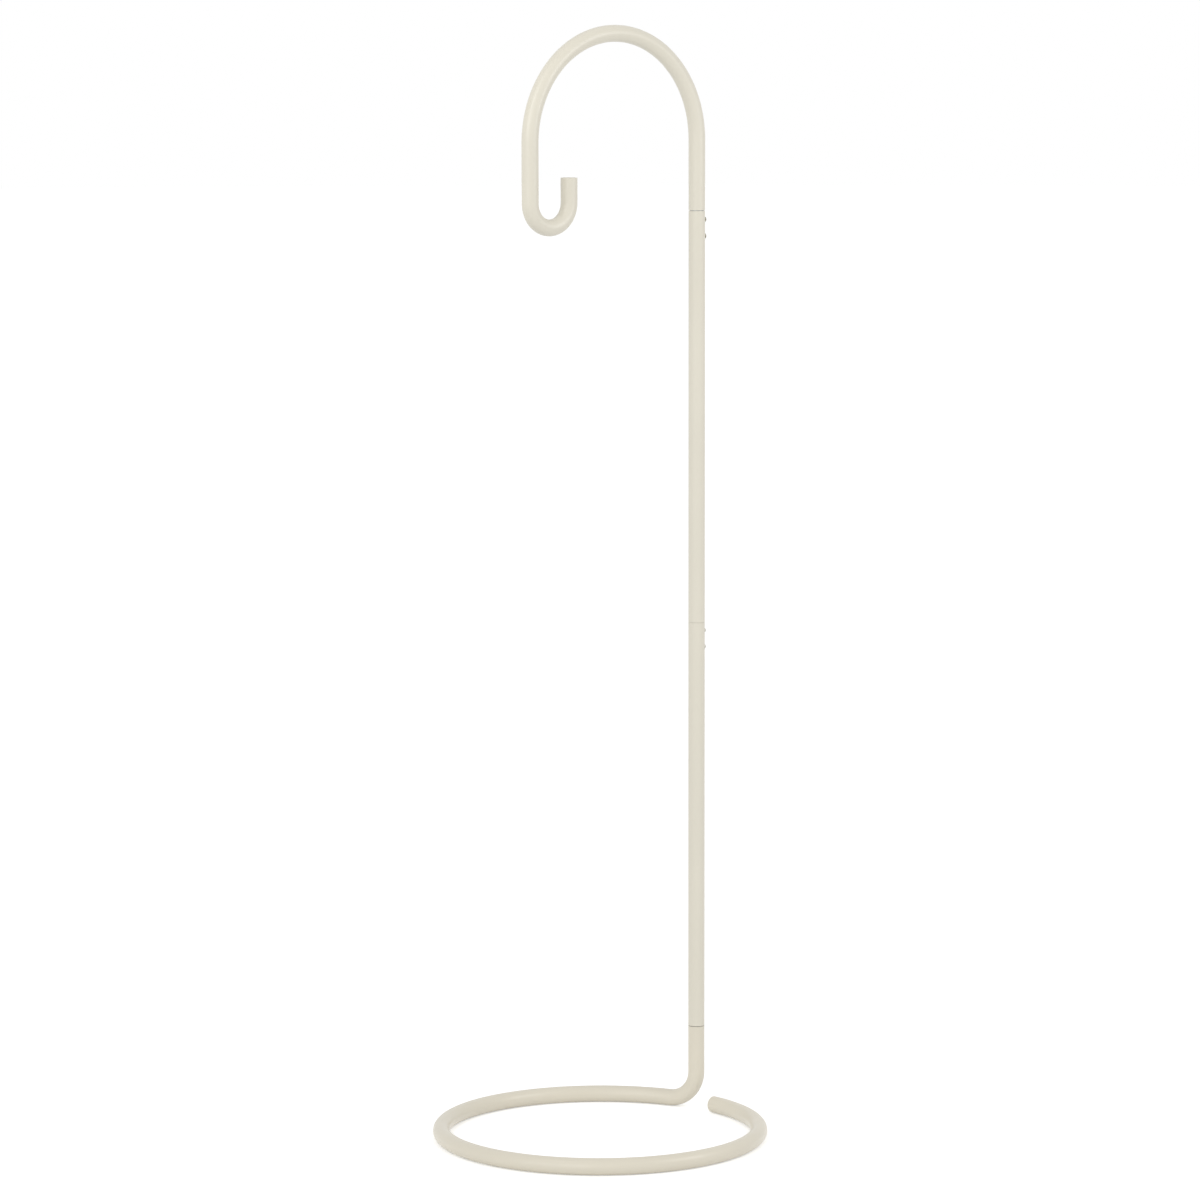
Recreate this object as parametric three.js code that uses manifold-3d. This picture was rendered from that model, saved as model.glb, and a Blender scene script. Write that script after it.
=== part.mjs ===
// A lamp stand of bent steel tube. An open ring lies on the floor and rises into a pole, and the
// pole carries a half-round arch whose small hook hangs a lamp over the middle of the ring.
// Lengths are in millimetres and angles in degrees, and +Z is up. The origin is the centre of the
// ring on the floor, and the arch reaches from the pole towards -X.

import * as THREE from 'three';
import { mergeVertices } from 'three/addons/utils/BufferGeometryUtils.js';
import Module from 'manifold-3d';

const wasm = await Module();
wasm.setup();

// Tube stock, the same for the ring, both poles and the arch
const tubeDiameter = 20;
const tubeWall = 1.5;
const seamGap = 0.3;              // between the ends of two tubes that butt

// Floor ring, measured to the tube's centre line, and the stub that it bends up into
const ringRadius = 190;
const ringGapAngle = 19.8;        // from the ring's free end to the start of the bend
const stubBendRadius = 36;
const baseSeamHeight = 104;       // from the floor to the top of the stub
const archTurnAngle = 13.5;       // between the arch and the line from the pole to the ring's centre

// Poles, from seam to seam
const lowerPoleLength = 498;
const upperPoleLength = 498;

// Arch and hook, measured to the tube's centre line
const archLegLength = 85;         // straight, from the upper seam to the start of the arch
const archRadius = 127;
const hookDrop = 70;              // straight, from the end of the arch down to the hook's bend
const hookRadius = 29;
const hookTipLength = 29;         // straight, from the hook's bend up to its tip

// Sleeve inside each screwed joint, fixed in the upper tube and sliding in the lower one
const slideClearance = 0.3;
const sleeveWall = 2;
const sleeveReach = 52;           // down into the lower tube
const sleeveGrip = 40;            // up into the upper tube

// Button-head screws with a hexagon socket, and the weld nuts that they turn in
const screwDiameter = 4;
const screwLength = 10;
const screwHeadDiameter = 7.6;
const screwHeadHeight = 2.2;
const screwHeadRim = 0.4;         // upright edge of the head, under its dome
const screwHeadFlat = 3.6;        // diameter of the flat on top of the dome
const screwSeat = 0.3;            // between the head and the tube
const socketAcrossFlats = 2.5;
const socketDepth = 1.3;
const firstScrewDrop = 10.8;      // from the seam down to the first screw
const screwSpacing = 20;
const topScrewTurn = 6;           // from the arch's plane to the top screws, clockwise from above
const holeClearance = 0.3;        // round a screw or stud in its hole
const nutAcrossFlats = 7;
const nutThickness = 3.2;

// Threaded stud of the base joint, and the bushes that it joins
const studDiameter = 10;
const studChamfer = 1;
const bushLength = 20;
const bushRecess = 2;             // from a tube's end to its bush

// Push-in end plugs
const plugFaceThickness = 2;
const plugLength = 12;
const plugStemInset = 0.8;        // the stem is this much thinner all round than the face
const plugRecess = 0.3;           // from the tube's end to the plug's face
const plugTaper = 0.8;

// How finely round forms are cut into flats
const tubeSides = 20;             // a multiple of four lays one flat on the floor
const ringSteps = 58;
const stubBendSteps = 9;
const archSteps = 26;
const hookSteps = 15;             // odd, so one flat lies level at the bottom of the hook
const turnedSides = 24;
const holeSides = 16;
const domeSteps = 5;
const cutOverrun = 1;

const cream = { color: 0xdfdacb, roughness: 0.45, metalness: 0 };
const zinc = { color: 0xb9bab8, roughness: 0.35, metalness: 1 };
const darkZinc = { color: 0x8d8b85, roughness: 0.4, metalness: 1 };
const creamPlastic = { color: 0xd8d3c5, roughness: 0.6, metalness: 0 };

const degree = Math.PI / 180;
const up = new THREE.Vector3(0, 0, 1);
const down = new THREE.Vector3(0, 0, -1);
const towardsHook = new THREE.Vector3(-1, 0, 0);
const awayFromHook = new THREE.Vector3(1, 0, 0);

const tubeRadius = tubeDiameter / 2;
const boreRadius = tubeRadius - tubeWall;
const sleeveRadius = boreRadius - slideClearance;
const sleeveBore = sleeveRadius - sleeveWall;
const studRadius = studDiameter / 2;
const screwRadius = screwDiameter / 2;

// Where the stub leaves the ring, where the ring ends free, and where the pole stands
const stubAngle = archTurnAngle + Math.atan2(stubBendRadius, ringRadius) / degree;
const freeEndAngle = stubAngle - ringGapAngle;
const poleDistance = Math.hypot(ringRadius, stubBendRadius);
const poleX = poleDistance * Math.cos(archTurnAngle * degree);
const poleY = poleDistance * Math.sin(archTurnAngle * degree);
const middleSeamHeight = baseSeamHeight + lowerPoleLength;
const topSeamHeight = middleSeamHeight + upperPoleLength;
const screwDrops = [firstScrewDrop, firstScrewDrop + screwSpacing];

// A tube's centre line, made of straight runs and round bends. It has stations all along a bend and
// only at the ends of a straight run.
class BentLine extends THREE.Curve {
  constructor(start, heading) {
    super();
    this.end = start.clone();
    this.heading = heading.clone();
    this.runs = [];
    this.steps = 0;
  }

  addRun(steps, pointAt, headingAt) {
    this.runs.push({ first: this.steps, steps, pointAt, headingAt });
    this.steps += steps;
    this.end = pointAt(1);
    this.heading = headingAt(1);
    return this;
  }

  straight(length) {
    const start = this.end.clone();
    const heading = this.heading.clone();
    return this.addRun(
      1,
      (share) => start.clone().addScaledVector(heading, share * length),
      () => heading.clone(),
    );
  }

  bend(radius, angle, inward, steps) {
    const heading = this.heading.clone();
    const centre = this.end.clone().addScaledVector(inward, radius);
    const turned = (share) => share * angle * degree;
    return this.addRun(
      steps,
      (share) => centre.clone()
        .addScaledVector(inward, -radius * Math.cos(turned(share)))
        .addScaledVector(heading, radius * Math.sin(turned(share))),
      (share) => heading.clone()
        .multiplyScalar(Math.cos(turned(share)))
        .addScaledVector(inward, Math.sin(turned(share))),
    );
  }

  runAt(share) {
    const station = share * this.steps;
    const run = this.runs.find(({ first, steps }) => station <= first + steps) ?? this.runs.at(-1);
    return { run, along: (station - run.first) / run.steps };
  }

  getPoint(share, target = new THREE.Vector3()) {
    const { run, along } = this.runAt(share);
    return target.copy(run.pointAt(along));
  }

  getTangent(share, target = new THREE.Vector3()) {
    const { run, along } = this.runAt(share);
    return target.copy(run.headingAt(along)).normalize();
  }

  getUtoTmapping(share) {
    return share;
  }
}

// A polygon whose flats touch a circle of this radius, with one flat facing +X
function flatsRound(radius, sides, Form) {
  const cornerRadius = radius / Math.cos(Math.PI / sides);
  const corners = Array.from({ length: sides }, (_, side) => {
    const angle = (2 * Math.PI * (side + 0.5)) / sides;
    return new THREE.Vector2(cornerRadius * Math.cos(angle), cornerRadius * Math.sin(angle));
  });
  return new Form(corners);
}

function ringSection(outerRadius, innerRadius, outerSides, innerSides) {
  const section = flatsRound(outerRadius, outerSides, THREE.Shape);
  section.holes.push(flatsRound(innerRadius, innerSides, THREE.Path));
  return section;
}

function bentTube(line) {
  return new THREE.ExtrudeGeometry(ringSection(tubeRadius, boreRadius, tubeSides, tubeSides), {
    steps: line.steps,
    extrudePath: line,
    bevelEnabled: false,
  });
}

function straightTube(outerRadius, innerRadius, length) {
  return new THREE.ExtrudeGeometry(ringSection(outerRadius, innerRadius, tubeSides, tubeSides), {
    depth: length,
    bevelEnabled: false,
  });
}

// A turned piece: points are [radius, height], from the foot of its outside up, round its own +Z
function turned(points) {
  const profile = points.map(([radius, height]) => new THREE.Vector2(radius, height));
  return new THREE.LatheGeometry(profile, turnedSides).rotateX(Math.PI / 2);
}

function solidOf(geometry) {
  const bare = geometry.clone();
  bare.deleteAttribute('normal');
  bare.deleteAttribute('uv');
  const merged = mergeVertices(bare);
  return new wasm.Manifold(new wasm.Mesh({
    numProp: 3,
    vertProperties: Float32Array.from(merged.attributes.position.array),
    triVerts: Uint32Array.from(merged.index.array),
  }));
}

function geometryOf(solid) {
  const { vertProperties, triVerts } = solid.getMesh();
  const geometry = new THREE.BufferGeometry();
  geometry.setAttribute('position', new THREE.BufferAttribute(vertProperties, 3));
  geometry.setIndex(new THREE.BufferAttribute(triVerts, 1));
  geometry.computeVertexNormals();
  return geometry;
}

// Drills a round hole from the tube's axis out through its +X wall at each height
function drilled(geometry, outerRadius, heights) {
  const reach = outerRadius + cutOverrun;
  const drillRadius = screwRadius + holeClearance;
  const cut = heights.reduce((solid, height) => {
    const drill = new THREE.CylinderGeometry(drillRadius, drillRadius, reach, holeSides)
      .rotateZ(Math.PI / 2)
      .translate(reach / 2, 0, height);
    return solid.subtract(solidOf(drill));
  }, solidOf(geometry));
  return geometryOf(cut);
}

function piece(name, geometry, finish) {
  const mesh = new THREE.Mesh(geometry, new THREE.MeshStandardMaterial(finish));
  mesh.name = name;
  return mesh;
}

function ringLine() {
  const angle = freeEndAngle * degree;
  const outward = new THREE.Vector3(Math.cos(angle), Math.sin(angle), 0);
  const clockwise = new THREE.Vector3(Math.sin(angle), -Math.cos(angle), 0);
  const start = outward.clone().multiplyScalar(ringRadius).setZ(tubeRadius);
  return new BentLine(start, clockwise)
    .bend(ringRadius, 360 - ringGapAngle, outward.clone().negate(), ringSteps)
    .bend(stubBendRadius, 90, up, stubBendSteps)
    .straight(baseSeamHeight - seamGap - tubeRadius - stubBendRadius);
}

function archLine() {
  return new BentLine(new THREE.Vector3(), up)
    .straight(archLegLength)
    .bend(archRadius, 180, towardsHook, archSteps)
    .straight(hookDrop)
    .bend(hookRadius, 180, awayFromHook, hookSteps)
    .straight(hookTipLength);
}

// A plug pushed into the end of a tube. Its outer face looks along +Z, just inside the tube's end.
function plugGeometry() {
  const face = boreRadius - slideClearance;
  const stem = face - plugStemInset;
  return turned([
    [0, -plugLength],
    [stem - plugTaper, -plugLength],
    [stem, -plugLength + plugTaper],
    [stem, -plugFaceThickness],
    [face, -plugFaceThickness],
    [face, -plugRecess],
    [0, -plugRecess],
  ]);
}

function endPlug(name, end, outward) {
  const plug = piece(name, plugGeometry(), creamPlastic);
  plug.position.copy(end);
  plug.quaternion.setFromUnitVectors(up, outward);
  return plug;
}

function bush(name, height) {
  const bore = studRadius + holeClearance;
  const geometry = turned([
    [bore, 0],
    [sleeveRadius, 0],
    [sleeveRadius, bushLength],
    [bore, bushLength],
    [bore, 0],
  ]);
  const mesh = piece(name, geometry, zinc);
  mesh.position.z = height;
  return mesh;
}

// The stud runs from the far end of one bush to the far end of the other
function stud(name) {
  const half = bushRecess + bushLength;
  const geometry = turned([
    [0, -half],
    [studRadius - studChamfer, -half],
    [studRadius, -half + studChamfer],
    [studRadius, half - studChamfer],
    [studRadius - studChamfer, half],
    [0, half],
  ]);
  const mesh = piece(name, geometry, zinc);
  mesh.position.z = baseSeamHeight - seamGap / 2;
  return mesh;
}

// A screw along +X, with its head's underside at 0
function screwGeometry() {
  const headRadius = screwHeadDiameter / 2;
  const flatRadius = screwHeadFlat / 2;
  const domeHeight = screwHeadHeight - screwHeadRim;
  const dome = Array.from({ length: domeSteps }, (_, step) => {
    const angle = ((step + 1) / domeSteps) * 90 * degree;
    return [
      flatRadius + (headRadius - flatRadius) * Math.cos(angle),
      screwHeadRim + domeHeight * Math.sin(angle),
    ];
  });
  const blank = turned([
    [0, -screwLength],
    [screwRadius, -screwLength],
    [screwRadius, 0],
    [headRadius, 0],
    [headRadius, screwHeadRim],
    ...dome,
    [0, screwHeadHeight],
  ]);
  const socketRadius = socketAcrossFlats / Math.sqrt(3);
  const socketCut = socketDepth + cutOverrun;
  const socket = new THREE.CylinderGeometry(socketRadius, socketRadius, socketCut, 6)
    .rotateX(Math.PI / 2)
    .translate(0, 0, screwHeadHeight - socketDepth + socketCut / 2);
  return geometryOf(solidOf(blank).subtract(solidOf(socket))).rotateY(Math.PI / 2);
}

function nutGeometry() {
  const section = ringSection(nutAcrossFlats / 2, screwRadius + holeClearance, 6, holeSides);
  return new THREE.ExtrudeGeometry(section, { depth: nutThickness, bevelEnabled: false })
    .rotateZ(Math.PI / 2)
    .rotateY(Math.PI / 2);
}

// The sleeve, nuts and screws of a joint, round the pole's axis, with its seam at height 0
function screwedJoint(name) {
  const joint = new THREE.Group();
  const heights = screwDrops.map((drop) => sleeveReach - drop);
  const sleeve = straightTube(sleeveRadius, sleeveBore, sleeveReach + sleeveGrip);
  const sleeveMesh = piece(`${name}_spigot`, drilled(sleeve, sleeveRadius, heights), zinc);
  sleeveMesh.position.z = -sleeveReach;
  joint.add(sleeveMesh);

  // A nut lies against the sleeve's bore with both its flats
  const nutFace = Math.sqrt(sleeveBore ** 2 - (nutAcrossFlats / 2) ** 2) - slideClearance;
  screwDrops.forEach((drop, index) => {
    const nut = piece(`${name}_nut_${index + 1}`, nutGeometry(), zinc);
    nut.position.set(nutFace - nutThickness, 0, -drop);
    const screw = piece(`${name}_screw_${index + 1}`, screwGeometry(), darkZinc);
    screw.position.set(tubeRadius + screwSeat, 0, -drop);
    joint.add(nut, screw);
  });
  return joint;
}

// A pole has its two screw holes below its upper seam, and is turned clockwise to face its screws
function pole(name, length, foot, turn) {
  const heights = screwDrops.map((drop) => length - drop);
  const tube = straightTube(tubeRadius, boreRadius, length - seamGap);
  const mesh = piece(name, drilled(tube, tubeRadius, heights), cream);
  mesh.position.z = foot;
  mesh.rotation.z = -turn * degree;
  return mesh;
}

const stand = new THREE.Group();
const baseLine = ringLine();
const freeEnd = baseLine.getPoint(0);
const freeEndOutward = baseLine.getTangent(0).negate();
stand.add(
  piece('base_ring', bentTube(baseLine), cream),
  endPlug('ring_end_plug', freeEnd, freeEndOutward),
);

const column = new THREE.Group();
column.position.set(poleX, poleY, 0);
column.add(
  bush('base_stub_bush', baseSeamHeight - seamGap - bushRecess - bushLength),
  stud('base_joint_stud'),
  bush('lower_pole_bush', baseSeamHeight + bushRecess),
  pole('lower_pole', lowerPoleLength, baseSeamHeight, 0),
  pole('upper_pole', upperPoleLength, middleSeamHeight, topScrewTurn),
);

const middleJoint = screwedJoint('mid');
middleJoint.position.z = middleSeamHeight;
const topJoint = screwedJoint('top');
topJoint.position.z = topSeamHeight;
topJoint.rotation.z = -topScrewTurn * degree;

const archTop = new THREE.Group();
archTop.position.z = topSeamHeight;
const archCentreLine = archLine();
archTop.add(
  piece('arch_hook', bentTube(archCentreLine), cream),
  endPlug('hook_end_plug', archCentreLine.end, archCentreLine.heading),
);

column.add(middleJoint, topJoint, archTop);
stand.add(column);

export default stand;
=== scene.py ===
"""A lamp stand of bent steel tube, with its fine shapes, its finishes and a plain studio round it.

An open ring lies on the floor and rises into a pole, and the pole carries a half-round arch that
ends in a small hook. Lengths are in metres, and +Z is up. The origin is the centre of the ring on
the floor, the arch reaches from the pole towards -X, and the screw heads face +X, the top ones a
little to its -Y side.
"""

import math

import bmesh
import bpy
from bpy.props import (
    FloatProperty,
    FloatVectorProperty,
    IntProperty,
    PointerProperty,
)
from mathutils import Matrix, Vector


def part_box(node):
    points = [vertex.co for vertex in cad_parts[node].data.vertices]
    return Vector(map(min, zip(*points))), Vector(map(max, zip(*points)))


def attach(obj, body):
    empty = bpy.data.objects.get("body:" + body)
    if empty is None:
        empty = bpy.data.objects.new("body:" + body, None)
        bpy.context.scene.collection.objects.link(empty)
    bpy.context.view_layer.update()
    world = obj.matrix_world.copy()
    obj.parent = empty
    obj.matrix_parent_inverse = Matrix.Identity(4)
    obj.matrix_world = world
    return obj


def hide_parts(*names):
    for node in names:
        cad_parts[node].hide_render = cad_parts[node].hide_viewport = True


bl_info = {
    "name": "Lamp Stand",
    "version": (1, 0, 0),
    "blender": (4, 5, 0),
    "location": "3D View > Sidebar > Lamp Stand",
    "description": "Builds a lamp stand of bent, powder-coated steel tube",
    "category": "Add Mesh",
}

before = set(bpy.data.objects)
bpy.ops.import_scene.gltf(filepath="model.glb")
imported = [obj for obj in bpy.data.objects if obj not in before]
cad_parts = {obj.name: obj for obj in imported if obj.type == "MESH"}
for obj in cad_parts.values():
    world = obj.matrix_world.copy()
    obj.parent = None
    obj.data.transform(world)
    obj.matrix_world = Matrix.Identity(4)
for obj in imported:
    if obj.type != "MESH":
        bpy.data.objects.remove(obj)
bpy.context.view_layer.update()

BODY = "root"
JOINTS = ("mid", "top")
SCREW_NUMBERS = (1, 2)              # each joint has two screws and two nuts

MM = 0.001
UP = Vector((0, 0, 1))
TOWARDS_HOOK = Vector((-1, 0, 0))
AWAY_FROM_HOOK = Vector((1, 0, 0))
TWELFTH_TURN = math.radians(30)
QUARTER_TURN = math.radians(90)
HALF_TURN = math.radians(180)
FULL_TURN = math.radians(360)

CREASE_ANGLE = math.radians(28)     # a crease sharper than this is shaded as an edge
RIM_ANGLE = math.radians(60)        # the rims at a tube's cut ends are sharper than this
NUT_CHAMFER = math.radians(30)
WELD_DISTANCE = 1e-7                # points closer than this become one
BEVEL_STEPS = 3
DOME_STEPS = 12
CROWN_STEPS = 8
PLUG_FINS = 3
FLOOR_SIDES = 96

# A metric thread, in pitches
THREAD_DEPTH = 0.6134
ROOT_FLAT = 1 / 4
CREST_FLAT = 1 / 8

NOISE_SPAN = (0.3, 0.7)             # where most of a noise lies, which the finishes spread out
WHITE = (1, 1, 1, 1)


def box_centre(node):
    """The middle of a node's box."""
    low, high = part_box(node)
    return (low + high) / 2


def box_size(node):
    """The length of a node's box along each axis."""
    low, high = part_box(node)
    return high - low


# Properties


def length(name, description, default):
    return FloatProperty(
        name=name, description=description, default=default, min=0, precision=4, unit="LENGTH"
    )


def angle(name, description, degrees):
    return FloatProperty(
        name=name,
        description=description,
        default=math.radians(degrees),
        subtype="ANGLE",
        unit="ROTATION",
    )


def colour(name, description, default):
    return FloatVectorProperty(
        name=name, description=description, default=default, min=0, max=1, size=3, subtype="COLOR"
    )


def share(name, description, default):
    return FloatProperty(
        name=name, description=description, default=default, min=0, max=1, subtype="FACTOR"
    )


def watts(name, description, default):
    return FloatProperty(
        name=name, description=description, default=default, min=0, unit="POWER"
    )


def count(name, description, default):
    return IntProperty(name=name, description=description, default=default, min=3)


class LampStandTubes(bpy.types.PropertyGroup):
    """Sizes of the four bent and straight tubes"""

    diameter: length("Tube", "Outside diameter of all the tubes", box_size("lower_pole").x)
    wall: length("Wall", "Thickness of the steel", 1.5 * MM)
    rim: length("Rim", "Rounding of a tube's cut end under its coat", 0.2 * MM)
    base_seam: length("Base seam", "Gap between the ring's stub and the lower pole", 0.6 * MM)
    middle_seam: length("Middle seam", "Gap between the two poles", 0.15 * MM)
    top_seam: length("Top seam", "Gap between the upper pole and the arch", 0.8 * MM)
    ring_radius: length("Ring", "From the ring's centre to the middle of its tube", 190 * MM)
    ring_gap: angle("Ring gap", "From the ring's free end to the start of the stub's bend", 19.8)
    stub_bend: length("Stub bend", "Radius of the bend from the ring up to the stub", 36 * MM)
    tip: length("Hook tip", "Straight end of the hook", 29 * MM)
    hole: length("Screw hole", "Diameter of the holes that the screws pass", 4.6 * MM)
    sides: count("Sides", "Flats round a tube", 72)
    bend_step: angle("Bend step", "Turn between two rings of points along a bend", 2)


class LampStandFittings(bpy.types.PropertyGroup):
    """Sizes of the sleeves, bushes, plugs and fasteners"""

    sleeve_wall: length("Sleeve wall", "Thickness of a spigot", 2 * MM)
    sleeve_lead: length("Lead-in", "Chamfer at the end of a spigot or bush", 0.8 * MM)
    screw: length("Screw", "Thread diameter of the screws", 4 * MM)
    screw_pitch: length("Screw pitch", "Pitch of the screws' thread", 0.7 * MM)
    head_height: length("Head", "Height of a screw's domed head", 2.2 * MM)
    head_rim: length("Head rim", "Upright edge under the dome", 0.4 * MM)
    head_flat: length("Head flat", "Diameter of the flat on the dome", 3.6 * MM)
    socket: length("Socket", "Hexagon socket across its flats", 2.5 * MM)
    socket_depth: length("Socket depth", "Depth of the hexagon socket", 1.3 * MM)
    nut: length("Nut", "Nut across its flats", 7 * MM)
    top_turn: angle("Top turn", "From the arch's plane to the top screws, clockwise from above", 6)
    stud_pitch: length("Stud pitch", "Pitch of the stud's thread", 1.5 * MM)
    thread_room: length("Thread room", "Clearance between a thread and its nut", 0.06 * MM)
    stud_chamfer: length("Stud chamfer", "Chamfer at the ends of the stud", 1 * MM)
    turned_edge: length("Turned edge", "Rounding of the edges of a screw", 0.12 * MM)
    plug_recess: length("Plug recess", "From a tube's end down to its plug", 0.3 * MM)
    plug_face: length("Plug face", "From a tube's end to the back of the plug's face", 2 * MM)
    plug_crown: length("Plug crown", "Rise of the plug's face at its middle", 0.25 * MM)
    plug_stem: length("Plug stem", "How much thinner the plug's stem is all round", 0.8 * MM)
    plug_wall: length("Plug wall", "Thickness of the plug's hollow stem", 1.4 * MM)
    plug_fin: length("Plug fin", "Thickness of a fin of the plug at its root", 0.9 * MM)
    moulded_edge: length("Moulded edge", "Rounding of the edges of a plug", 0.15 * MM)
    sides: count("Sides", "Flats round a turned piece", 64)


class LampStandFinishes(bpy.types.PropertyGroup):
    """Colours and gloss of the finishes"""

    coat: colour("Powder coat", "Colour of the poles and the arch", (0.738, 0.701, 0.597))
    ring_coat: colour("Ring coat", "Slightly warmer colour of the ring", (0.742, 0.694, 0.579))
    coat_roughness: share("Coat roughness", "Roughness of the powder coat", 0.32)
    plastic: colour("Plastic", "Colour of the end plugs", (0.70, 0.665, 0.565))
    plastic_roughness: share("Plastic roughness", "Roughness of the end plugs", 0.58)
    # Darker than bright zinc: this grey paints the shade inside the seams, where the fittings show
    zinc: colour("Zinc", "Colour of the hidden fittings", (0.44, 0.45, 0.44))
    zinc_roughness: share("Zinc roughness", "Roughness of the hidden fittings", 0.34)
    screw: colour("Screw steel", "Colour of the screws", (0.31, 0.29, 0.22))
    screw_roughness: share("Screw roughness", "Roughness of the screws", 0.38)


class LampStandStage(bpy.types.PropertyGroup):
    """The camera, the lights and the floor"""

    camera_place: FloatVectorProperty(
        name="Camera",
        description="Where the camera stands",
        default=(-3.5724, -4.4360, 1.3508),
        subtype="TRANSLATION",
        unit="LENGTH",
    )
    camera_heading: angle("Heading", "Turn of the camera from +Y towards +X", 38.855)
    camera_tilt: angle("Tilt", "How far the camera looks down", 7.036)
    camera_roll: angle("Roll", "Turn of the camera about its line of sight", -0.107)
    lens: FloatProperty(
        name="Lens",
        description="Focal length on a sensor 36 mm wide",
        default=145.79,
        min=1,
        unit="CAMERA",
    )
    key_light: FloatProperty(
        name="Key", description="Strength of the wide, far light on the left", default=0.8
    )
    key_width: angle("Key width", "How wide the key light looks from the stand", 50)
    key_azimuth: angle("Key azimuth", "Turn of the key light from the -Y side", -70)
    key_elevation: angle("Key elevation", "Height of the key light", 15)
    softbox: watts("Softbox", "Power of the softbox on the right", 13.9)
    softbox_side: length("Softbox side", "Side of the square softbox", 1.2)
    softbox_reach: length("Softbox reach", "From the arch to the softbox", 2.4)
    softbox_azimuth: angle("Softbox azimuth", "Turn of the softbox from the -Y side", 28)
    softbox_elevation: angle("Softbox elevation", "Height of the softbox", 12)
    strip: watts("Strip", "Power of the strip light beside the hook", 2.2)
    strip_width: length("Strip width", "Width of the strip light", 0.4)
    strip_height: length("Strip height", "Height of the strip light", 1.0)
    strip_reach: length("Strip reach", "From the arch to the strip light", 1.15)
    strip_azimuth: angle("Strip azimuth", "Turn of the strip light from the -Y side", -80)
    strip_elevation: angle("Strip elevation", "Height of the strip light", 30)
    room_light: share("Room", "Strength of the light from all round", 0.645)
    floor_radius: length("Floor", "Radius of the floor", 30.0)
    floor_shade: share("Floor shade", "Brightness of the floor as the lights see it", 0.92)
    floor_lift: share("Floor lift", "White added to the floor in the picture", 0.4)


# Shapes


class BentSkin:
    """A tube's outer skin, drawn from its first end by one ring of edges."""

    def __init__(self, start, heading, radius, sides):
        self.mesh = bmesh.new()
        self.end = start.copy()
        self.heading = heading.copy()
        bmesh.ops.create_circle(
            self.mesh, segments=sides, radius=radius, matrix=facing(start, heading)
        )
        self.ring = self.mesh.edges[:]

    def straight(self, reach):
        """Pushes the ring straight on."""
        pushed = bmesh.ops.extrude_edge_only(self.mesh, edges=self.ring)["geom"]
        points = [part for part in pushed if isinstance(part, bmesh.types.BMVert)]
        moved = set(points)
        self.ring = [
            part
            for part in pushed
            if isinstance(part, bmesh.types.BMEdge) and moved.issuperset(part.verts)
        ]
        bmesh.ops.translate(self.mesh, verts=points, vec=self.heading * reach)
        self.end += self.heading * reach

    def bend(self, radius, turn, inward, step):
        """Swings the ring round a centre on its inward side."""
        centre = self.end + inward * radius
        axis = self.heading.cross(inward)
        swung = bmesh.ops.spin(
            self.mesh,
            geom=self.ring,
            cent=centre,
            axis=axis,
            angle=turn,
            steps=max(1, round(turn / step)),
        )
        self.ring = [part for part in swung["geom_last"] if isinstance(part, bmesh.types.BMEdge)]
        rotation = Matrix.Rotation(turn, 3, axis)
        self.end = centre + rotation @ (self.end - centre)
        self.heading = rotation @ self.heading


class Outline:
    """Half of a turned piece's section, drawn in the XZ plane and turned about Z."""

    def __init__(self, x, z):
        self.mesh = bmesh.new()
        self.tip = self.mesh.verts.new((x, 0, z))

    def to(self, x, z):
        drawn = bmesh.ops.extrude_vert_indiv(self.mesh, verts=[self.tip])
        self.tip = drawn["verts"][0]
        self.tip.co = (x, 0, z)
        return self

    def turned(self, sides, rise=0, merge=True):
        """Turns the outline once round, by a screw's turn if it has a rise."""
        bmesh.ops.spin(
            self.mesh,
            geom=self.mesh.verts[:] + self.mesh.edges[:],
            cent=(0, 0, 0),
            axis=UP,
            dvec=UP * rise / sides,
            angle=FULL_TURN,
            steps=sides,
            use_merge=merge,
        )
        bmesh.ops.remove_doubles(self.mesh, verts=self.mesh.verts, dist=WELD_DISTANCE)
        bmesh.ops.recalc_face_normals(self.mesh, faces=self.mesh.faces)
        return self.mesh


def sharp_edges(mesh, crease=CREASE_ANGLE):
    """The edges at which two faces meet more sharply than a crease."""
    return [
        edge
        for edge in mesh.edges
        if len(edge.link_faces) == 2 and edge.calc_face_angle() > crease
    ]


def softened(mesh, radius, edges=None):
    """Rounds the sharp edges of a mesh, or those given."""
    bmesh.ops.bevel(
        mesh,
        geom=sharp_edges(mesh) if edges is None else edges,
        offset=radius,
        offset_type="OFFSET",
        segments=BEVEL_STEPS,
        profile=0.5,
        affect="EDGES",
        clamp_overlap=True,
        material=-1,
    )
    return mesh


def combined(body, tool, operation):
    """Cuts one closed mesh with another, joins them, or keeps what they share."""
    body_object, tool_object = (
        bpy.data.objects.new("combined", bpy.data.meshes.new("combined")) for _ in range(2)
    )
    for holder, mesh in ((body_object, body), (tool_object, tool)):
        mesh.to_mesh(holder.data)
        mesh.free()
        bpy.context.scene.collection.objects.link(holder)
    modifier = body_object.modifiers.new("combine", "BOOLEAN")
    modifier.solver = "EXACT"
    modifier.operation = operation
    modifier.object = tool_object
    bpy.context.view_layer.update()
    result = bmesh.new()
    result.from_object(body_object, bpy.context.evaluated_depsgraph_get())
    for holder in (body_object, tool_object):
        data = holder.data
        bpy.data.objects.remove(holder)
        bpy.data.meshes.remove(data)
    bmesh.ops.remove_doubles(result, verts=result.verts, dist=WELD_DISTANCE)
    return result


def cylinder(radius, bottom, top, sides):
    mesh = bmesh.new()
    bmesh.ops.create_cone(
        mesh,
        cap_ends=True,
        segments=sides,
        radius1=radius,
        radius2=radius,
        depth=top - bottom,
        matrix=Matrix.Translation(UP * (top + bottom) / 2),
    )
    return mesh


def hexagon(across_flats, bottom, top):
    """A hexagonal bar along Z, with corners towards +Y and -Y."""
    return cylinder(across_flats / math.sqrt(3), bottom, top, sides=6)


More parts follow.
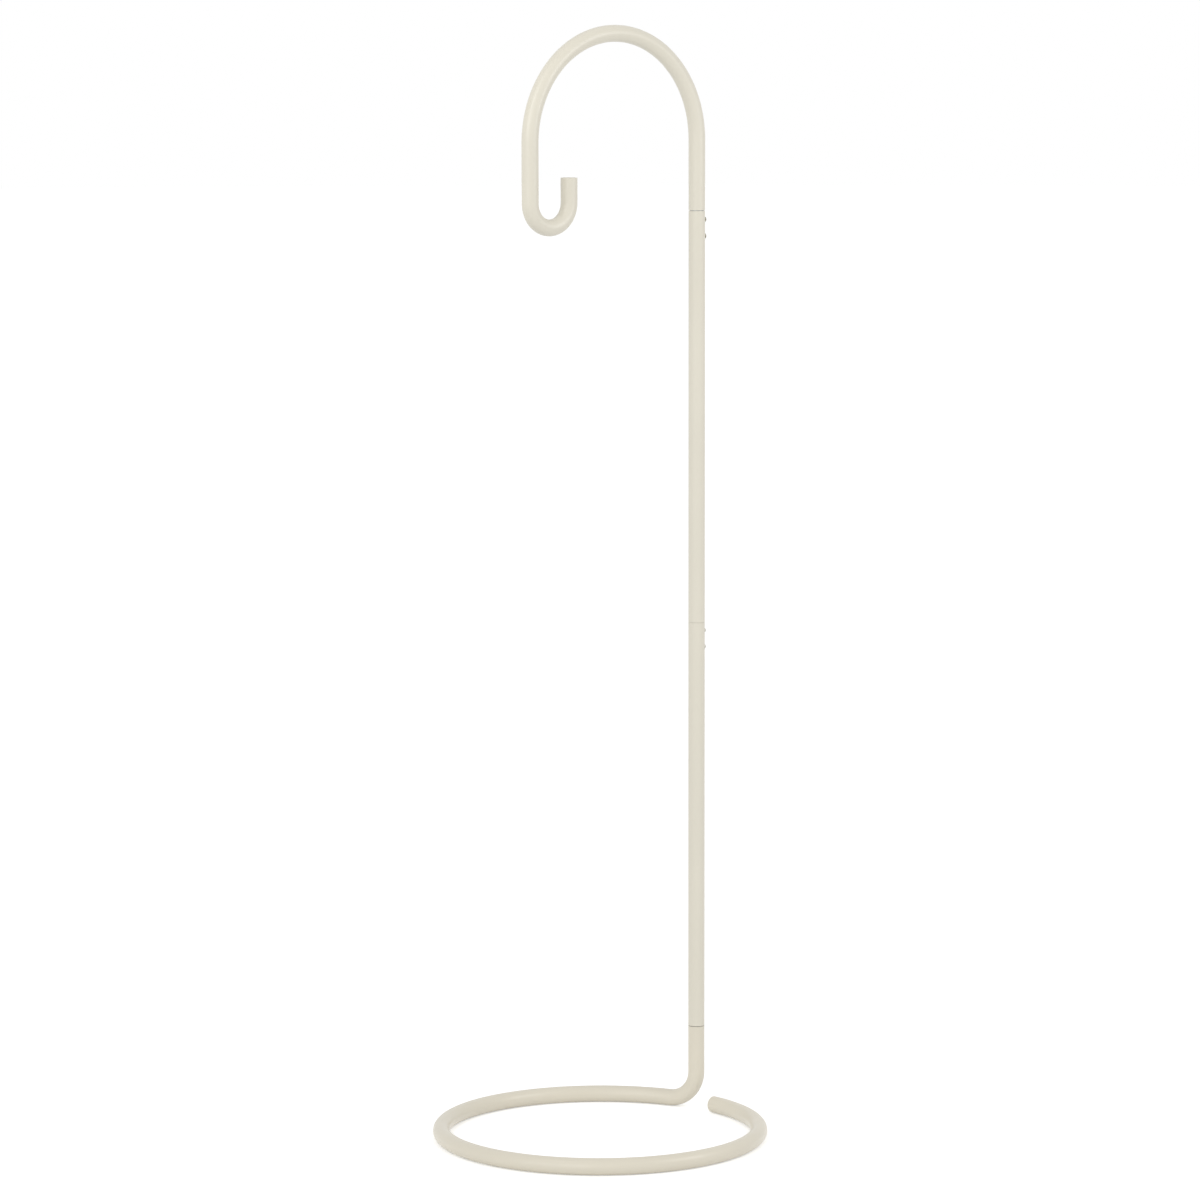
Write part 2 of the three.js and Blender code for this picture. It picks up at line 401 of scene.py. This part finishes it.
def chamfered_rod(radius, bottom, top, inset, drop, sides):
    """A turned rod along Z. At both ends it narrows by the inset over the drop."""
    outline = Outline(0, bottom).to(radius - inset, bottom).to(radius, bottom + drop)
    outline.to(radius, top - drop).to(radius - inset, top).to(0, top)
    return outline.turned(sides)


def threaded_bar(diameter, pitch, bottom, top, sides):
    """A bar with a right-hand thread along Z, whose turns start at whole pitches from height 0."""
    crest = diameter / 2
    root = crest - THREAD_DEPTH * pitch
    flank = (1 - ROOT_FLAT - CREST_FLAT) / 2
    # A turn climbs by a pitch as it goes round, so the first one starts well below the bottom
    first = math.floor(bottom / pitch) - 2
    last = math.ceil(top / pitch) + 1
    outline = Outline(root, first * pitch)
    for turn in range(first, last):
        outline.to(root, (turn + ROOT_FLAT) * pitch)
        outline.to(crest, (turn + ROOT_FLAT + flank) * pitch)
        outline.to(crest, (turn + 1 - flank) * pitch)
        outline.to(root, (turn + 1) * pitch)
    mesh = outline.turned(sides, rise=pitch, merge=False)
    for height, outwards in ((bottom, -UP), (top, UP)):
        cut = bmesh.ops.bisect_plane(
            mesh,
            geom=mesh.verts[:] + mesh.edges[:] + mesh.faces[:],
            dist=WELD_DISTANCE,
            plane_co=UP * height,
            plane_no=outwards,
            clear_outer=True,
        )
        rim = [part for part in cut["geom_cut"] if isinstance(part, bmesh.types.BMEdge)]
        bmesh.ops.edgeloop_fill(mesh, edges=rim)
    bmesh.ops.recalc_face_normals(mesh, faces=mesh.faces)
    return mesh


def facing(at, along):
    """The place of something that was made at the origin along Z."""
    return Matrix.Translation(at) @ along.to_track_quat("Z", "Y").to_matrix().to_4x4()


def placed(mesh, at, along):
    """Turns a piece that was made along Z to its own direction and moves it there."""
    bmesh.ops.transform(mesh, matrix=facing(at, along), verts=mesh.verts)
    return mesh


def add_piece(name, mesh, finish, node):
    """Makes an object of a finished mesh, which stands for a node of the frame."""
    for face in mesh.faces:
        face.smooth = True
    for edge in sharp_edges(mesh):
        edge.smooth = False
    data = bpy.data.meshes.new(name)
    mesh.to_mesh(data)
    mesh.free()
    data.materials.append(finish)
    piece = bpy.data.objects.new(name, data)
    bpy.context.scene.collection.objects.link(piece)
    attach(piece, BODY)
    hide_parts(node)


# Finishes


class Finish:
    """A material with one Principled shader, whose patterns read Object coordinates."""

    def __init__(self, name):
        self.material = bpy.data.materials.new(name)
        self.material.use_nodes = True
        self.tree = self.material.node_tree
        self.shader = self.tree.nodes["Principled BSDF"]
        self.place = self.tree.nodes.new("ShaderNodeTexCoord").outputs["Object"]

    def link(self, output, socket):
        self.tree.links.new(output, self.shader.inputs[socket])

    def metal(self):
        self.shader.inputs["Metallic"].default_value = 1

    def stretched(self, scale):
        """Object coordinates, scaled along each axis."""
        mapping = self.tree.nodes.new("ShaderNodeMapping")
        mapping.inputs["Scale"].default_value = scale
        self.tree.links.new(self.place, mapping.inputs["Vector"])
        return mapping.outputs["Vector"]

    def noise(self, scale, detail, place=None):
        texture = self.tree.nodes.new("ShaderNodeTexNoise")
        texture.inputs["Scale"].default_value = scale
        texture.inputs["Detail"].default_value = detail
        self.tree.links.new(place or self.place, texture.inputs["Vector"])
        return texture.outputs["Fac"]

    def mottled(self, pattern, base, darkest, lightest):
        """Lets a pattern shade the base colour."""
        ramp = self.tree.nodes.new("ShaderNodeValToRGB")
        shades = zip(ramp.color_ramp.elements, NOISE_SPAN, (darkest, lightest))
        for element, place, factor in shades:
            element.position = place
            element.color = (*(min(1, channel * factor) for channel in base), 1)
        self.tree.links.new(pattern, ramp.inputs["Fac"])
        self.link(ramp.outputs["Color"], "Base Color")

    def rough(self, pattern, base, less, more):
        """Lets a pattern vary the roughness."""
        spread = self.tree.nodes.new("ShaderNodeMapRange")
        for socket, place in zip(("From Min", "From Max"), NOISE_SPAN):
            spread.inputs[socket].default_value = place
        spread.inputs["To Min"].default_value = base - less
        spread.inputs["To Max"].default_value = base + more
        self.tree.links.new(pattern, spread.inputs["Value"])
        self.link(spread.outputs["Result"], "Roughness")

    def bump(self, pattern, height, below=None):
        """Raises the surface by a pattern, on top of another bump if one is given."""
        bump = self.tree.nodes.new("ShaderNodeBump")
        bump.inputs["Distance"].default_value = height
        self.tree.links.new(pattern, bump.inputs["Height"])
        if below:
            self.tree.links.new(below, bump.inputs["Normal"])
        return bump.outputs["Normal"]


def finish_named(name, make, *values):
    """A finish that is made the first time it is asked for."""
    return bpy.data.materials.get(name) or make(name, *values)


def make_powder_coat(name, coat):
    """Satin cream powder coat: a soft orange peel, a fine grain and a faint cloudiness."""
    look = bpy.context.scene.lamp_stand_finishes
    finish = Finish(name)
    finish.mottled(finish.noise(scale=9, detail=3), coat, darkest=0.985, lightest=1.015)
    finish.rough(finish.noise(scale=60, detail=2), look.coat_roughness, less=0.03, more=0.03)
    peel = finish.bump(finish.noise(scale=480, detail=1), height=0.012 * MM)
    grain = finish.bump(finish.noise(scale=2600, detail=2), height=0.006 * MM, below=peel)
    finish.link(grain, "Normal")
    return finish.material


def make_plastic(name):
    """Matte moulded plastic with a fine spark-eroded grain."""
    look = bpy.context.scene.lamp_stand_finishes
    finish = Finish(name)
    flow = finish.noise(scale=220, detail=3)
    finish.mottled(flow, look.plastic, darkest=0.97, lightest=1.02)
    finish.rough(flow, look.plastic_roughness, less=0.04, more=0.04)
    finish.link(finish.bump(finish.noise(scale=3200, detail=2), height=0.01 * MM), "Normal")
    return finish.material


def make_zinc(name):
    """Zinc plate over turned steel, with fine rings round the upright axis. Its grey is darker
    than bright zinc to paint the shade inside the seams, where these fittings show.
    """
    look = bpy.context.scene.lamp_stand_finishes
    finish = Finish(name)
    finish.metal()
    cloud = finish.noise(scale=160, detail=4)
    finish.mottled(cloud, look.zinc, darkest=0.88, lightest=1.08)
    finish.rough(cloud, look.zinc_roughness, less=0.06, more=0.08)
    rings = finish.noise(scale=1, detail=3, place=finish.stretched((40, 40, 4200)))
    finish.link(finish.bump(rings, height=0.008 * MM), "Normal")
    return finish.material


def make_screw_steel(name):
    """Grey zinc plate on the screws, a little cloudy and dull."""
    look = bpy.context.scene.lamp_stand_finishes
    finish = Finish(name)
    finish.metal()
    cloud = finish.noise(scale=700, detail=4)
    finish.mottled(cloud, look.screw, darkest=0.82, lightest=1.1)
    finish.rough(cloud, look.screw_roughness, less=0.05, more=0.09)
    finish.link(finish.bump(finish.noise(scale=5200, detail=2), height=0.004 * MM), "Normal")
    return finish.material


def powder_coat():
    coat = bpy.context.scene.lamp_stand_finishes.coat
    return finish_named("satin_cream_coat", make_powder_coat, coat)


def ring_coat():
    coat = bpy.context.scene.lamp_stand_finishes.ring_coat
    return finish_named("satin_warm_cream_coat", make_powder_coat, coat)


def plastic():
    return finish_named("moulded_cream_plastic", make_plastic)


# The fittings' finish, whose dark grey paints the shade seen in the seams
def zinc():
    return finish_named("bright_zinc_plate", make_zinc)


def screw_steel():
    return finish_named("dull_zinc_screws", make_screw_steel)


# Places on the stand, read from the frame


def pole_point(height):
    """A point on the pole's axis."""
    centre = box_centre("lower_pole")
    return Vector((centre.x, centre.y, height))


def walled(skin, tubes):
    """Gives a tube's skin its wall and rounds the rims at both ends."""
    mesh = skin.mesh
    bmesh.ops.recalc_face_normals(mesh, faces=mesh.faces)
    bmesh.ops.solidify(mesh, geom=mesh.faces[:], thickness=tubes.wall)
    return softened(mesh, tubes.rim, sharp_edges(mesh, RIM_ANGLE))


def rim_margin(tubes):
    """From a tube's cut end to its next ring of points, so that its rounding has room."""
    return 2 * tubes.rim


def screw_axis(joint, number):
    """Where the axis of a screw meets the axis of the pole."""
    return pole_point(box_centre(f"{joint}_screw_{number}").z)


def screws_face(joint, fittings):
    """The way that a joint's screw heads face."""
    turn = fittings.top_turn if joint == "top" else 0
    return Matrix.Rotation(-turn, 3, UP) @ AWAY_FROM_HOOK


def screw_seat(joint, number, fittings, tubes):
    """The middle of the underside of a screw's head, which lies on the tube."""
    return screw_axis(joint, number) + screws_face(joint, fittings) * tubes.diameter / 2


def drilled(mesh, joint, fittings, tubes):
    """Drills a joint's two screw holes through the wall that its screws face."""
    for number in SCREW_NUMBERS:
        drill = cylinder(tubes.hole / 2, 0, tubes.diameter, tubes.sides)
        placed(drill, screw_axis(joint, number), screws_face(joint, fittings))
        mesh = combined(mesh, drill, "DIFFERENCE")
    return mesh


def ring_free_end(tubes):
    """The middle of the ring's free end, and the direction to it from the ring's centre."""
    pole = pole_point(0)
    stub = math.atan2(pole.y, pole.x) + math.atan2(tubes.stub_bend, tubes.ring_radius)
    turn = stub - tubes.ring_gap
    outward = Vector((math.cos(turn), math.sin(turn), 0))
    return outward * tubes.ring_radius + UP * tubes.diameter / 2, outward


def tip_height(fittings):
    """The end of the hook's tube, just above its plug."""
    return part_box("hook_end_plug")[1].z + fittings.plug_recess


# Operators


class LAMPSTAND_OT_base_ring(bpy.types.Operator):
    """Bends the floor ring and the stub that rises from it"""

    bl_idname = "lampstand.base_ring"
    bl_label = "Base Ring"

    def execute(self, context):
        tubes = context.scene.lamp_stand_tubes
        free_end, outward = ring_free_end(tubes)
        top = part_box("lower_pole")[0].z - tubes.base_seam
        skin = BentSkin(free_end, outward.cross(UP), tubes.diameter / 2, tubes.sides)
        skin.bend(tubes.ring_radius, FULL_TURN - tubes.ring_gap, -outward, tubes.bend_step)
        skin.bend(tubes.stub_bend, QUARTER_TURN, UP, tubes.bend_step)
        skin.straight(top - skin.end.z - rim_margin(tubes))
        skin.straight(rim_margin(tubes))
        add_piece("floor_ring", walled(skin, tubes), ring_coat(), "base_ring")
        return {"FINISHED"}


class LAMPSTAND_OT_poles(bpy.types.Operator):
    """Cuts the two straight tubes and drills their screw holes"""

    bl_idname = "lampstand.poles"
    bl_label = "Poles"

    def execute(self, context):
        tubes = context.scene.lamp_stand_tubes
        fittings = context.scene.lamp_stand_fittings
        foot, head = (corner.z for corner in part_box("upper_pole"))
        middle = foot - tubes.middle_seam
        self.pole("lower_tube", "lower_pole", middle, "mid", fittings, tubes)
        self.pole("upper_tube", "upper_pole", head, "top", fittings, tubes)
        return {"FINISHED"}

    def pole(self, name, node, head, joint, fittings, tubes):
        """A straight tube, with rings of points near its ends and on either side of each hole."""
        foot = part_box(node)[0].z
        stops = [foot + rim_margin(tubes)]
        for hole in sorted(screw_axis(joint, number).z for number in SCREW_NUMBERS):
            stops += [hole - tubes.hole, hole + tubes.hole]
        stops += [head - rim_margin(tubes), head]
        skin = BentSkin(pole_point(foot), UP, tubes.diameter / 2, tubes.sides)
        for stop in stops:
            skin.straight(stop - skin.end.z)
        mesh = drilled(walled(skin, tubes), joint, fittings, tubes)
        add_piece(name, mesh, powder_coat(), node)


class LAMPSTAND_OT_arch(bpy.types.Operator):
    """Bends the arch and its hook"""

    bl_idname = "lampstand.arch"
    bl_label = "Arch and Hook"

    def execute(self, context):
        tubes = context.scene.lamp_stand_tubes
        fittings = context.scene.lamp_stand_fittings
        radius = tubes.diameter / 2
        low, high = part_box("arch_hook")
        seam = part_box("upper_pole")[1].z + tubes.top_seam
        arch_radius = (high.x - low.x - tubes.diameter) / 2
        spring = high.z - radius - arch_radius
        leg_x = low.x + radius
        tip_x = box_centre("hook_end_plug").x
        hook_radius = (tip_x - leg_x) / 2
        hook_bend = tip_height(fittings) - tubes.tip
        skin = BentSkin(pole_point(seam), UP, radius, tubes.sides)
        skin.straight(rim_margin(tubes))
        skin.straight(spring - skin.end.z)
        skin.bend(arch_radius, HALF_TURN, TOWARDS_HOOK, tubes.bend_step)
        skin.straight(spring - hook_bend)
        skin.bend(hook_radius, HALF_TURN, AWAY_FROM_HOOK, tubes.bend_step)
        skin.straight(tubes.tip - rim_margin(tubes))
        skin.straight(rim_margin(tubes))
        add_piece("arch_tube", walled(skin, tubes), powder_coat(), "arch_hook")
        return {"FINISHED"}


class LAMPSTAND_OT_end_plugs(bpy.types.Operator):
    """Moulds the two plugs that close the ends of the ring and the hook"""

    bl_idname = "lampstand.end_plugs"
    bl_label = "End Plugs"

    def execute(self, context):
        tubes = context.scene.lamp_stand_tubes
        fittings = context.scene.lamp_stand_fittings
        ring_end, outward = ring_free_end(tubes)
        hook_end = box_centre("hook_end_plug")
        hook_end.z = tip_height(fittings)
        for name, node, end, faces in (
            ("ring_plug", "ring_end_plug", ring_end, UP.cross(outward)),
            ("hook_plug", "hook_end_plug", hook_end, UP),
        ):
            mesh = placed(self.plug(fittings), end, faces)
            add_piece(name, mesh, plastic(), node)
        return {"FINISHED"}

    def plug(self, fittings):
        """A plug along +Z for a tube that ends at height 0: a crowned face and a finned stem."""
        face = box_size("hook_end_plug").x / 2
        stem = face - fittings.plug_stem
        bore = stem - fittings.plug_wall
        top = -fittings.plug_recess
        neck = -fittings.plug_face
        foot = top - box_size("hook_end_plug").z
        outline = Outline(0, top)
        for step in range(1, CROWN_STEPS + 1):
            way_out = step / CROWN_STEPS
            outline.to(face * way_out, top - fittings.plug_crown * way_out**2)
        outline.to(face, neck).to(stem, neck)
        spacing = (neck - foot) / (PLUG_FINS + 1)
        for fin in range(1, PLUG_FINS + 1):
            height = neck - fin * spacing
            outline.to(stem, height + fittings.plug_fin).to(face, height).to(stem, height)
        outline.to(stem, foot + fittings.plug_stem).to(stem - fittings.plug_stem, foot)
        outline.to(bore, foot).to(bore, neck).to(0, neck)
        return softened(outline.turned(fittings.sides), fittings.moulded_edge)


class LAMPSTAND_OT_spigots(bpy.types.Operator):
    """Turns the sleeves inside the two screwed joints"""

    bl_idname = "lampstand.spigots"
    bl_label = "Spigots"

    def execute(self, context):
        tubes = context.scene.lamp_stand_tubes
        fittings = context.scene.lamp_stand_fittings
        for joint in JOINTS:
            node = f"{joint}_spigot"
            foot, head = (corner.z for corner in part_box(node))
            mesh = self.sleeve(foot, head, fittings)
            bmesh.ops.translate(mesh, verts=mesh.verts, vec=pole_point(0))
            mesh = drilled(mesh, joint, fittings, tubes)
            add_piece(f"{joint}_sleeve", mesh, zinc(), node)
        return {"FINISHED"}

    def sleeve(self, bottom, top, fittings):
        """A sleeve along Z with a chamfered lead-in at both ends."""
        outer = box_size("mid_spigot").x / 2
        inner = outer - fittings.sleeve_wall
        lead = fittings.sleeve_lead
        outline = Outline(inner, bottom).to(outer - lead, bottom).to(outer, bottom + lead)
        outline.to(outer, top - lead).to(outer - lead, top).to(inner, top).to(inner, bottom)
        return outline.turned(fittings.sides)


class LAMPSTAND_OT_screws(bpy.types.Operator):
    """Makes the four button-head screws"""

    bl_idname = "lampstand.screws"
    bl_label = "Screws"

    def execute(self, context):
        tubes = context.scene.lamp_stand_tubes
        fittings = context.scene.lamp_stand_fittings
        for joint in JOINTS:
            for number in SCREW_NUMBERS:
                seat = screw_seat(joint, number, fittings, tubes)
                mesh = placed(self.screw(fittings), seat, screws_face(joint, fittings))
                name = f"{joint}_button_screw_{number}"
                add_piece(name, mesh, screw_steel(), f"{joint}_screw_{number}")
        return {"FINISHED"}

    def screw(self, fittings):
        """A screw along Z with the underside of its head at height 0."""
        head = box_size("mid_screw_1").z / 2
        shank = box_size("mid_screw_1").x - fittings.head_height
        flat = fittings.head_flat / 2
        rim = fittings.head_rim
        dome = fittings.head_height - rim
        outline = Outline(0, 0).to(head, 0).to(head, rim)
        for step in range(1, DOME_STEPS + 1):
            turn = QUARTER_TURN * step / DOME_STEPS
            outline.to(flat + (head - flat) * math.cos(turn), rim + dome * math.sin(turn))
        outline.to(0, fittings.head_height)
        mesh = softened(outline.turned(fittings.sides), fittings.turned_edge)
        thread = threaded_bar(fittings.screw, fittings.screw_pitch, -shank, rim, fittings.sides)
        mesh = combined(mesh, thread, "UNION")
        return combined(mesh, self.socket(fittings), "DIFFERENCE")

    def socket(self, fittings):
        """The hexagon socket with its chamfered mouth and its drilled point."""
        corner = fittings.socket / math.sqrt(3)
        mouth = corner + fittings.turned_edge
        drill = fittings.socket / 2 - fittings.turned_edge
        top = fittings.head_height
        floor = top - fittings.socket_depth
        bar = hexagon(fittings.socket, floor, top + corner)
        bmesh.ops.rotate(bar, verts=bar.verts, matrix=Matrix.Rotation(TWELFTH_TURN, 3, UP))
        funnel = Outline(0, top - mouth).to(mouth, top).to(mouth, top + corner).to(0, top + corner)
        point = Outline(0, floor - drill / 2).to(drill, floor).to(drill, top).to(0, top)
        mesh = combined(bar, funnel.turned(fittings.sides), "UNION")
        return combined(mesh, point.turned(fittings.sides), "UNION")


class LAMPSTAND_OT_nuts(bpy.types.Operator):
    """Makes the four weld nuts inside the spigots"""

    bl_idname = "lampstand.nuts"
    bl_label = "Nuts"

    def execute(self, context):
        tubes = context.scene.lamp_stand_tubes
        fittings = context.scene.lamp_stand_fittings
        middle_seat = screw_seat("mid", 1, fittings, tubes)
        low, high = (corner.x - middle_seat.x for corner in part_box("mid_nut_1"))
        for joint in JOINTS:
            for number in SCREW_NUMBERS:
                seat = screw_seat(joint, number, fittings, tubes)
                mesh = placed(self.nut(low, high, fittings), seat, screws_face(joint, fittings))
                name = f"{joint}_weld_nut_{number}"
                add_piece(name, mesh, zinc(), f"{joint}_nut_{number}")
        return {"FINISHED"}

    def nut(self, bottom, top, fittings):
        """A nut along Z, chamfered and threaded to fit its screw."""
        corner = fittings.nut / math.sqrt(3)
        inset = corner - fittings.nut / 2
        drop = inset * math.tan(NUT_CHAMFER)
        blank = chamfered_rod(corner, bottom, top, inset, drop, fittings.sides)
        mesh = combined(hexagon(fittings.nut, bottom, top), blank, "INTERSECT")
        return threaded_hole(mesh, fittings.screw, fittings.screw_pitch, bottom, top, fittings)


def threaded_hole(mesh, diameter, pitch, bottom, top, fittings):
    """Cuts a threaded hole with a countersink at each end along Z."""
    wide = diameter + 2 * fittings.thread_room
    mouth = wide / 2 + fittings.turned_edge
    tap = threaded_bar(wide, pitch, bottom - pitch, top + pitch, fittings.sides)
    mesh = combined(mesh, tap, "DIFFERENCE")
    for height, inwards in ((bottom, 1), (top, -1)):
        sink = Outline(0, height + inwards * mouth).to(mouth, height)
        sink.to(mouth, height - inwards * pitch).to(0, height - inwards * pitch)
        mesh = combined(mesh, sink.turned(fittings.sides), "DIFFERENCE")
    return mesh


class LAMPSTAND_OT_base_joint(bpy.types.Operator):
    """Makes the threaded stud of the base joint and the two bushes that it joins"""

    bl_idname = "lampstand.base_joint"
    bl_label = "Base Joint"

    def execute(self, context):
        fittings = context.scene.lamp_stand_fittings
        centre = box_centre("base_joint_stud")
        diameter = box_size("base_joint_stud").x
        for name, node in (("stub_bush", "base_stub_bush"), ("pole_bush", "lower_pole_bush")):
            low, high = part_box(node)
            bottom, top = low.z - centre.z, high.z - centre.z
            mesh = self.bush(diameter, (high.x - low.x) / 2, bottom, top, fittings)
            add_piece(name, placed(mesh, centre, UP), zinc(), node)
        half = box_size("base_joint_stud").z / 2
        mesh = placed(self.stud(diameter, half, fittings), centre, UP)
        add_piece("joint_stud", mesh, zinc(), "base_joint_stud")
        return {"FINISHED"}

    def bush(self, diameter, outer, bottom, top, fittings):
        """A bush along Z with a chamfered lead-in at both ends, threaded to fit the stud."""
        lead = fittings.sleeve_lead
        mesh = chamfered_rod(outer, bottom, top, lead, lead, fittings.sides)
        return threaded_hole(mesh, diameter, fittings.stud_pitch, bottom, top, fittings)

    def stud(self, diameter, half, fittings):
        """A threaded stud along Z with chamfered ends."""
        chamfer = fittings.stud_chamfer
        reach = half + chamfer
        thread = threaded_bar(diameter, fittings.stud_pitch, -reach, reach, fittings.sides)
        rod = chamfered_rod(diameter / 2, -half, half, chamfer, chamfer, fittings.sides)
        return combined(thread, rod, "INTERSECT")


class LAMPSTAND_OT_stage(bpy.types.Operator):
    """Sets up the camera, the lights and the white floor"""

    bl_idname = "lampstand.stage"
    bl_label = "Stage"

    def execute(self, context):
        stage = context.scene.lamp_stand_stage
        context.scene.view_settings.view_transform = "Standard"
        self.camera(context.scene, stage)
        self.key_light(context.scene, stage)
        self.softbox(context.scene, stage)
        self.strip(context.scene, stage)
        self.room(context.scene, stage)
        self.floor(context.scene, stage)
        return {"FINISHED"}

    def camera(self, scene, stage):
        camera = bpy.data.objects.new("camera", bpy.data.cameras.new("camera"))
        camera.data.lens = stage.lens
        camera.data.clip_end = 2 * stage.floor_radius
        camera.matrix_world = (
            Matrix.Translation(stage.camera_place)
            @ Matrix.Rotation(-stage.camera_heading, 4, "Z")
            @ Matrix.Rotation(QUARTER_TURN - stage.camera_tilt, 4, "X")
            @ Matrix.Rotation(stage.camera_roll, 4, "Z")
        )
        scene.collection.objects.link(camera)
        scene.camera = camera

    def key_light(self, scene, stage):
        """A sun, which lights alike from any distance."""
        light = bpy.data.lights.new("key_light", "SUN")
        light.energy = stage.key_light
        light.angle = stage.key_width
        stand_lamp(scene, light, stage.key_azimuth, stage.key_elevation, stage.softbox_reach)

    def softbox(self, scene, stage):
        light = bpy.data.lights.new("softbox", "AREA")
        light.energy = stage.softbox
        light.size = stage.softbox_side
        azimuth, elevation = stage.softbox_azimuth, stage.softbox_elevation
        stand_lamp(scene, light, azimuth, elevation, stage.softbox_reach)

    def strip(self, scene, stage):
        light = bpy.data.lights.new("strip", "AREA")
        light.energy = stage.strip
        light.shape = "RECTANGLE"
        light.size = stage.strip_width
        light.size_y = stage.strip_height
        stand_lamp(scene, light, stage.strip_azimuth, stage.strip_elevation, stage.strip_reach)

    def room(self, scene, stage):
        """White where it is seen, straight or in a reflection, and the room's light elsewhere."""
        world = bpy.data.worlds.new("room")
        world.use_nodes = True
        background = world.node_tree.nodes["Background"]
        background.inputs["Color"].default_value = WHITE
        level = world.node_tree.nodes.new("ShaderNodeMapRange")
        level.inputs["To Min"].default_value = stage.room_light
        level.inputs["To Max"].default_value = 1
        world.node_tree.links.new(seen_rays(world.node_tree), level.inputs["Value"])
        world.node_tree.links.new(level.outputs["Result"], background.inputs["Strength"])
        scene.world = world

    def floor(self, scene, stage):
        mesh = bmesh.new()
        bmesh.ops.create_circle(
            mesh, cap_ends=True, segments=FLOOR_SIDES, radius=stage.floor_radius
        )
        data = bpy.data.meshes.new("floor")
        mesh.to_mesh(data)
        mesh.free()
        data.materials.append(self.floor_paint(stage))
        floor = bpy.data.objects.new("floor", data)
        scene.collection.objects.link(floor)

    def floor_paint(self, stage):
        """A dull, nearly white paint, lifted to white where it is seen. It still takes shadows."""
        paint = bpy.data.materials.new("floor_paint")
        paint.use_nodes = True
        shader = paint.node_tree.nodes["Principled BSDF"]
        shader.inputs["Base Color"].default_value = (*[stage.floor_shade] * 3, 1)
        shader.inputs["Roughness"].default_value = 1
        shader.inputs["Specular IOR Level"].default_value = 0
        shader.inputs["Emission Color"].default_value = WHITE
        lift = paint.node_tree.nodes.new("ShaderNodeMath")
        lift.operation = "MULTIPLY"
        lift.inputs[1].default_value = stage.floor_lift
        paint.node_tree.links.new(seen_rays(paint.node_tree), lift.inputs[0])
        paint.node_tree.links.new(lift.outputs["Value"], shader.inputs["Emission Strength"])
        return paint


def stand_lamp(scene, light, azimuth, elevation, reach):
    """Stands a lamp at a distance from the middle of the arch, which it faces."""
    level = math.cos(elevation)
    outwards = Vector((math.sin(azimuth) * level, -math.cos(azimuth) * level, math.sin(elevation)))
    lamp = bpy.data.objects.new(light.name, light)
    lamp.matrix_world = facing(box_centre("arch_hook") + reach * outwards, outwards)
    scene.collection.objects.link(lamp)


def seen_rays(tree):
    """1 for what the camera sees, straight, in a gloss or through glass, and 0 otherwise."""
    path = tree.nodes.new("ShaderNodeLightPath")
    seen = path.outputs["Is Camera Ray"]
    for ray in ("Is Glossy Ray", "Is Transmission Ray"):
        either = tree.nodes.new("ShaderNodeMath")
        either.operation = "MAXIMUM"
        tree.links.new(seen, either.inputs[0])
        tree.links.new(path.outputs[ray], either.inputs[1])
        seen = either.outputs["Value"]
    return seen


class LAMPSTAND_PT_sidebar(bpy.types.Panel):
    """Sizes, finishes and steps of the lamp stand"""

    bl_idname = "LAMPSTAND_PT_sidebar"
    bl_label = "Lamp Stand"
    bl_space_type = "VIEW_3D"
    bl_region_type = "UI"
    bl_category = "Lamp Stand"

    def draw(self, context):
        for name in SETTINGS:
            box = self.layout.box()
            settings = getattr(context.scene, name)
            for key in settings.bl_rna.properties.keys():
                if key not in ("rna_type", "name"):
                    box.prop(settings, key)
        for step in STEPS:
            self.layout.operator(step.bl_idname)


SETTINGS = {
    "lamp_stand_tubes": LampStandTubes,
    "lamp_stand_fittings": LampStandFittings,
    "lamp_stand_finishes": LampStandFinishes,
    "lamp_stand_stage": LampStandStage,
}

STEPS = (
    LAMPSTAND_OT_stage,
    LAMPSTAND_OT_base_ring,
    LAMPSTAND_OT_poles,
    LAMPSTAND_OT_arch,
    LAMPSTAND_OT_end_plugs,
    LAMPSTAND_OT_spigots,
    LAMPSTAND_OT_nuts,
    LAMPSTAND_OT_screws,
    LAMPSTAND_OT_base_joint,
)


def register():
    for kind in (*SETTINGS.values(), *STEPS, LAMPSTAND_PT_sidebar):
        bpy.utils.register_class(kind)
    for name, kind in SETTINGS.items():
        setattr(bpy.types.Scene, name, PointerProperty(type=kind))


def unregister():
    for name in SETTINGS:
        delattr(bpy.types.Scene, name)
    for kind in reversed((*SETTINGS.values(), *STEPS, LAMPSTAND_PT_sidebar)):
        bpy.utils.unregister_class(kind)


def main():
    register()
    bpy.ops.lampstand.stage()
    bpy.ops.lampstand.base_ring()
    bpy.ops.lampstand.poles()
    bpy.ops.lampstand.arch()
    bpy.ops.lampstand.end_plugs()
    bpy.ops.lampstand.spigots()
    bpy.ops.lampstand.nuts()
    bpy.ops.lampstand.screws()
    bpy.ops.lampstand.base_joint()


if __name__ == "__main__":
    main()
